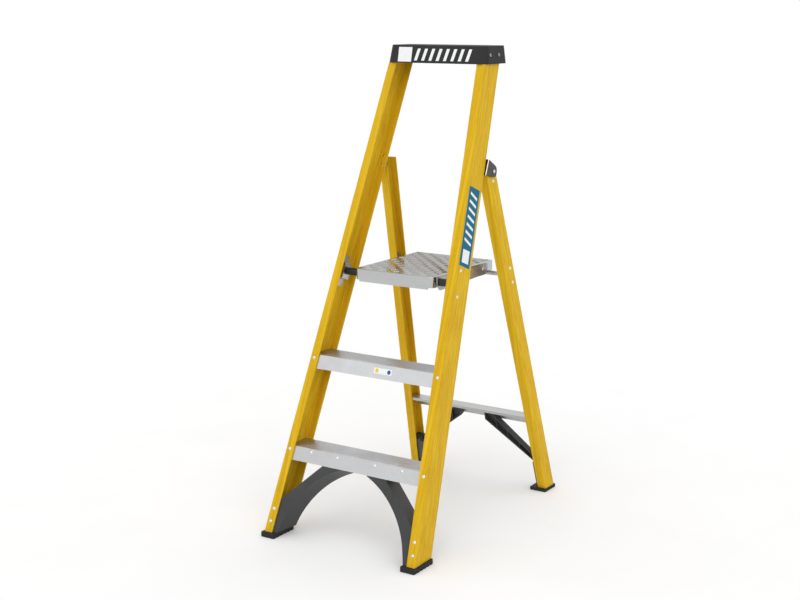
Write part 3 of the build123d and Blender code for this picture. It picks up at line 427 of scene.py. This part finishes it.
# ------------------------------------------------------------------ deck pattern
DECK_MARGIN = 6.0 * MM
CELL = 21.0 * MM
BARS = 5  # in each cell
BAR_LENGTH = 17.5 * MM
BAR_WIDTH = 1.7 * MM
BAR_HEIGHT = 0.6 * MM
BAR_PITCH = 3.9 * MM
BAR_SUNK = 0.3 * MM
BAR_END = 0.9  # how far the ends draw in for each width of the bar
BAR_RINGS = (  # how far the outline draws in, and its height, from the foot up to the crest
    (0.0, -BAR_SUNK),
    (0.0, 0.0),
    (0.35, 0.6 * BAR_HEIGHT),
    (0.72, 0.95 * BAR_HEIGHT),
)
BAR_OUTLINE = (  # in half lengths and half widths
    (-1, 0), (-0.86, -0.75), (-0.5, -1), (0.5, -1), (0.86, -0.75),
    (1, 0), (0.86, 0.75), (0.5, 1), (-0.5, 1), (-0.86, 0.75),
)


def deck_bar():
    """One long low bar with pointed ends, along X."""
    verts, faces = [], []
    for inset, level in BAR_RINGS:
        half_width = BAR_WIDTH / 2 * (1 - inset)
        half_length = BAR_LENGTH / 2 - inset * BAR_WIDTH * BAR_END
        verts += [Vector((x * half_length, y * half_width, level)) for x, y in BAR_OUTLINE]
    count = len(BAR_OUTLINE)
    top = len(verts) - count
    for low in range(0, top, count):
        high = low + count
        for a in range(count):
            b = (a + 1) % count
            faces.append((low + a, low + b, high + b, high + a))
    faces.append(tuple(range(count))[::-1])
    faces.append(tuple(range(top, top + count)))
    return verts, faces


def deck_pattern():
    """A chequer of cells on the deck, with bars that lean one way or the other."""
    bar_verts, bar_faces = deck_bar()
    low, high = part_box("platform_tray")
    across = int((high[0] - low[0] - 2 * DECK_MARGIN) / CELL)
    deep = int((high[1] - low[1] - 2 * DECK_MARGIN) / CELL)
    middle = Vector(((low[0] + high[0]) / 2, (low[1] + high[1]) / 2, high[2]))
    verts, faces = [], []
    for cell in range(deep * across):
        row, column = divmod(cell, across)
        offset = Vector((column - (across - 1) / 2, row - (deep - 1) / 2, 0)) * CELL
        turn = Matrix.Rotation(math.radians(45 if (row + column) % 2 else -45), 4, "Z")
        for number in range(BARS):
            shift = Vector((0, (number - (BARS - 1) / 2) * BAR_PITCH, 0))
            place = Matrix.Translation(middle + offset) @ turn @ Matrix.Translation(shift)
            first = len(verts)
            verts += [place @ vert for vert in bar_verts]
            faces += [tuple(first + corner for corner in face) for face in bar_faces]
    return make_piece("deck_pattern", verts, faces, pattern_metal, "platform")


deck_pattern()

# ------------------------------------------------------------------ marks on the cap
CAP_SQUARE = (-117 * MM, 42 * MM, 38 * MM)  # left edge, width and height
CAP_SQUARE_RISE = 3.0 * MM
CAP_BARS = 8
CAP_BAR_LEFT = -66 * MM
CAP_BAR_PITCH = 22.5 * MM
CAP_BAR_WIDTH = 9 * MM
CAP_BAR_HEIGHT = 31 * MM
CAP_BAR_LEAN = 0.28
CAP_BAR_RISE = 3.5 * MM  # above the square's lower edge


def cap_marks():
    """A plain square and a row of slanted bars on the cap's front."""
    cap_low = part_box("top_cap")[0]
    square_low = cap_low[2] + CAP_SQUARE_RISE
    left, width, height = CAP_SQUARE
    shapes = [slanted(left, square_low, width, height)]
    for number in range(CAP_BARS):
        shapes.append(slanted(
            CAP_BAR_LEFT + CAP_BAR_PITCH * number, square_low + CAP_BAR_RISE,
            CAP_BAR_WIDTH, CAP_BAR_HEIGHT, CAP_BAR_LEAN,
        ))

    def before_cap(x, z):
        return Vector((x, cap_low[1] - CAST_FROM, z))

    print_shapes("cap_marks", shapes, "top_cap", before_cap, AHEAD, white_film)


cap_marks()

# ------------------------------------------------------------------ marks on the side label
# Depths run back from the stile's front face, and heights along its slope.
LABEL_SQUARE_DEPTH = 21 * MM
LABEL_SQUARE_LOW = 786 * MM
LABEL_SQUARE_SIZE = 34 * MM
LABEL_BARS = 7
LABEL_BAR_FRONT = 20 * MM
LABEL_BAR_BACK = 56 * MM
LABEL_BAR_LOW = 833 * MM
LABEL_BAR_PITCH = 20 * MM
LABEL_BAR_THICK = 7 * MM
LABEL_BAR_RISE = 10 * MM  # from its back end to its front end


def label_marks():
    """A plain square and a stack of slanted bars on the label."""
    label_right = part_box("side_label")[1][0]
    size = LABEL_SQUARE_SIZE
    shapes = [slanted(LABEL_SQUARE_DEPTH, LABEL_SQUARE_LOW, size, size)]
    for number in range(LABEL_BARS):
        low = LABEL_BAR_LOW + LABEL_BAR_PITCH * number
        raised = low + LABEL_BAR_RISE
        shapes.append([
            (LABEL_BAR_BACK, low),
            (LABEL_BAR_BACK, low + LABEL_BAR_THICK),
            (LABEL_BAR_FRONT, raised + LABEL_BAR_THICK),
            (LABEL_BAR_FRONT, raised),
        ])

    def beside_label(depth, slope):
        return Vector((
            label_right + CAST_FROM,
            STILE_FACE_Y + slope * math.sin(FRONT_LEAN) + depth * math.cos(FRONT_LEAN),
            slope * math.cos(FRONT_LEAN) - depth * math.sin(FRONT_LEAN),
        ))

    print_shapes(
        "label_marks", shapes, "side_label", beside_label, INWARD, white_film
    )


label_marks()

# ------------------------------------------------------------------ dots on the tread's sticker
DOT_RADIUS = 5.2 * MM
DOTS = (  # name, place from the sticker's left edge, ink and slot
    ("sticker_dot_left", 9 * MM, yellow_ink, "yellow_grp"),
    ("sticker_dot_right", 46 * MM, blue_ink, "teal_label"),
)


def sticker_dots():
    sticker_low, sticker_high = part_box("tread_sticker")
    middle_z = (sticker_low[2] + sticker_high[2]) / 2

    def before_sticker(x, z):
        return Vector((x, sticker_low[1] - CAST_FROM, z))

    for name, place, ink, slot in DOTS:
        dot = circle(sticker_low[0] + place, middle_z, DOT_RADIUS)
        print_shapes(name, [dot], "tread_sticker", before_sticker, AHEAD, ink)


sticker_dots()

# ------------------------------------------------------------------ floor
HALF = 900.0  # half the floor's side, in metres, so that its edge lies on the horizon
floor_mesh = bpy.data.meshes.new("floor")
floor_corners = [(-HALF, -HALF, 0), (HALF, -HALF, 0), (HALF, HALF, 0), (-HALF, HALF, 0)]
floor_mesh.from_pydata(floor_corners, [], [(0, 1, 2, 3)])
floor_mesh.materials.append(floor_paint())
floor = bpy.data.objects.new("floor", floor_mesh)
bpy.context.scene.collection.objects.link(floor)

# ------------------------------------------------------------------ light
# A pale studio, as height in the sky and brightness there: white along the horizon, a grey band
# above it, a bright soft band part of the way up, and grey overhead.
SKY_LEVELS = ((0.03, 1.05), (0.08, 0.58), (0.24, 0.6), (0.34, 1.3), (0.5, 1.25), (0.62, 0.7), (1.0, 0.6))
world = bpy.data.worlds.new("studio")
world.use_nodes = True
sky = world.node_tree
background = sky.nodes["Background"]
background.inputs["Color"].default_value = grey(1.0)
height = sky.nodes.new("ShaderNodeSeparateXYZ")
sky.links.new(sky.nodes.new("ShaderNodeTexCoord").outputs["Generated"], height.inputs[0])
glow = sky.nodes.new("ShaderNodeValToRGB")
stops = glow.color_ramp.elements
for stop, (position, level) in zip(stops, (SKY_LEVELS[0], SKY_LEVELS[-1])):
    stop.position = position
    stop.color = grey(level)
for position, level in SKY_LEVELS[1:-1]:
    stops.new(position).color = grey(level)
sky.links.new(height.outputs["Z"], glow.inputs["Fac"])
sky.links.new(glow.outputs["Color"], background.inputs["Strength"])
bpy.context.scene.world = world


def sun(name, toward, strength, spread):
    """A wide soft light from a direction, the same over the whole floor."""
    light = bpy.data.lights.new(name, "SUN")
    light.energy = strength
    light.angle = math.radians(spread)
    obj = bpy.data.objects.new(name, light)
    obj.rotation_euler = Vector(toward).to_track_quat("Z", "Y").to_euler()
    bpy.context.scene.collection.objects.link(obj)


sun("key", toward=(0.35, -0.75, 1.0), strength=0.75, spread=70)
sun("top", toward=(-0.2, 0.15, 1.0), strength=0.35, spread=90)

# ------------------------------------------------------------------ camera
CAMERA_PLACE = (1.95558, -3.08653, 1.35008)
CAMERA_LOOK = (-0.53438, 0.82047, -0.20315)
camera_data = bpy.data.cameras.new("camera")
camera_data.sensor_width = 36.0
camera_data.lens = 62.82
camera_data.clip_end = 2000.0  # past the floor's corners
camera = bpy.data.objects.new("camera", camera_data)
camera.location = CAMERA_PLACE
camera.rotation_euler = Vector(CAMERA_LOOK).to_track_quat("-Z", "Y").to_euler()
bpy.context.scene.collection.objects.link(camera)
bpy.context.scene.camera = camera
bpy.context.scene.view_settings.view_transform = "Standard"
